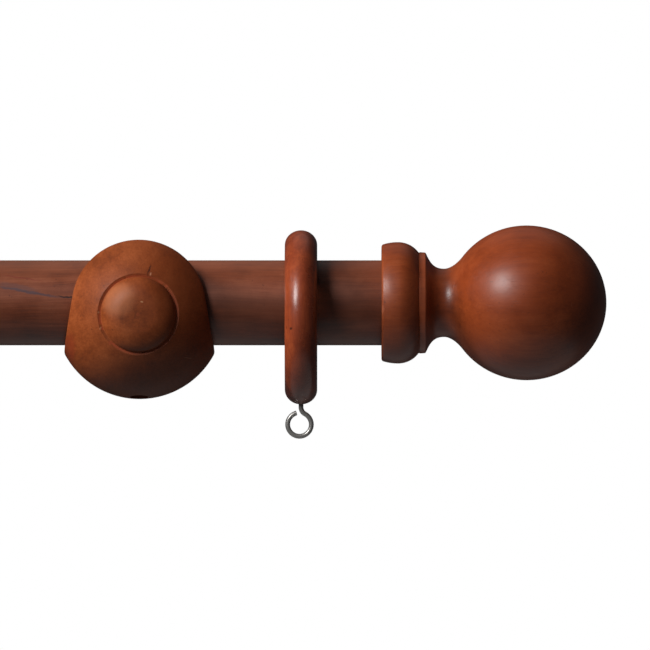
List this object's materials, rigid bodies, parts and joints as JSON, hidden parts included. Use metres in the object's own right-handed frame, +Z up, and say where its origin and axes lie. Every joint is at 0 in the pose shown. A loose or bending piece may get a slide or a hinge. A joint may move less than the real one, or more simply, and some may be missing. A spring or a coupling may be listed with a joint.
{
  "type": "curtain rod with brackets",
  "caption": "Wooden curtain pole with ball finials, turned cradle brackets on steel wall plates, and sliding wooden rings with screw eyes.",
  "frame": {"origin": "middle of the right bracket's wall plate, on the face that meets the wall", "axes": "+X along the pole towards the right finial, +Y into the wall, the room on -Y, +Z up"},
  "size_m": [1.0288, 0.1374, 0.0703],
  "materials": {
    "pole_wood": "satin, mahogany stain, grain along the pole",
    "bracket_wood": "satin, orange-brown mahogany stain",
    "finial_wood": "satin, red-brown mahogany stain",
    "ring_wood": "semi-gloss, red-brown mahogany stain",
    "nickel_wire": "nickel-plated wire",
    "zinc_steel": "zinc-plated steel",
    "brass": "plain brass"
  },
  "bodies": {
    "wall_brackets": {"bracket_right": "bracket_wood", "wall_plate_right": "zinc_steel", "plate_stud_right": "zinc_steel", "insert_nut_right": "brass", "wall_screw_right_upper": "zinc_steel", "wall_screw_right_lower": "zinc_steel", "pole_lock_screw_right": "zinc_steel", "bracket_left": "bracket_wood", "wall_plate_left": "zinc_steel", "plate_stud_left": "zinc_steel", "insert_nut_left": "brass", "wall_screw_left_upper": "zinc_steel", "wall_screw_left_lower": "zinc_steel", "pole_lock_screw_left": "zinc_steel"},
    "pole": {"pole": "pole_wood"},
    "dowel_right": {"dowel_screw_right": "zinc_steel"},
    "finial_right": {"finial_right": "finial_wood"},
    "dowel_left": {"dowel_screw_left": "zinc_steel"},
    "finial_left": {"finial_left": "finial_wood"},
    "ring_1": {"curtain_ring_1": "ring_wood", "screw_eye_1": "nickel_wire"},
    "ring_2": {"curtain_ring_2": "ring_wood", "screw_eye_2": "nickel_wire"},
    "ring_3": {"curtain_ring_3": "ring_wood", "screw_eye_3": "nickel_wire"},
    "ring_4": {"curtain_ring_4": "ring_wood", "screw_eye_4": "nickel_wire"},
    "ring_5": {"curtain_ring_5": "ring_wood", "screw_eye_5": "nickel_wire"},
    "ring_6": {"curtain_ring_6": "ring_wood", "screw_eye_6": "nickel_wire"},
    "ring_7": {"curtain_ring_7": "ring_wood", "screw_eye_7": "nickel_wire"},
    "ring_8": {"curtain_ring_8": "ring_wood", "screw_eye_8": "nickel_wire"}
  },
  "joints": [
    {"name": "pole_lift", "type": "slide", "parent": "wall_brackets", "child": "pole", "axis": [0, 0.1736, 0.9848], "range_m": [0, 0.045]},
    {"name": "finial_right_travel", "type": "slide", "parent": "pole", "child": "dowel_right", "axis": [1, 0, 0], "range_m": [0, 0.0225]},
    {"name": "finial_right_unscrew", "type": "hinge", "parent": "dowel_right", "child": "finial_right", "pos_m": [0.0797, -0.07, 0.0038], "axis": [1, 0, 0], "range_deg": [0, 3240]},
    {"name": "finial_left_travel", "type": "slide", "parent": "pole", "child": "dowel_left", "axis": [-1, 0, 0], "range_m": [0, 0.0225]},
    {"name": "finial_left_unscrew", "type": "hinge", "parent": "dowel_left", "child": "finial_left", "pos_m": [-0.8009, -0.07, 0.0038], "axis": [-1, 0, 0], "range_deg": [0, 3240]},
    {"name": "ring_1_slide", "type": "slide", "parent": "pole", "child": "ring_1", "axis": [1, 0, 0], "range_m": [-0.0205, 0.0205]},
    {"name": "ring_2_slide", "type": "slide", "parent": "pole", "child": "ring_2", "axis": [1, 0, 0], "range_m": [-0.07, 0.092]},
    {"name": "ring_3_slide", "type": "slide", "parent": "pole", "child": "ring_3", "axis": [1, 0, 0], "range_m": [-0.092, 0.092]},
    {"name": "ring_4_slide", "type": "slide", "parent": "pole", "child": "ring_4", "axis": [1, 0, 0], "range_m": [-0.092, 0.092]},
    {"name": "ring_5_slide", "type": "slide", "parent": "pole", "child": "ring_5", "axis": [1, 0, 0], "range_m": [-0.092, 0.092]},
    {"name": "ring_6_slide", "type": "slide", "parent": "pole", "child": "ring_6", "axis": [1, 0, 0], "range_m": [-0.092, 0.092]},
    {"name": "ring_7_slide", "type": "slide", "parent": "pole", "child": "ring_7", "axis": [1, 0, 0], "range_m": [-0.092, 0.07]},
    {"name": "ring_8_slide", "type": "slide", "parent": "pole", "child": "ring_8", "axis": [1, 0, 0], "range_m": [-0.0205, 0.0205]}
  ],
  "couplings": [
    {"joint": "finial_right_unscrew", "follows": "finial_right_travel", "rad_per_m": 2513.3},
    {"joint": "finial_left_unscrew", "follows": "finial_left_travel", "rad_per_m": 2513.3}
  ]
}
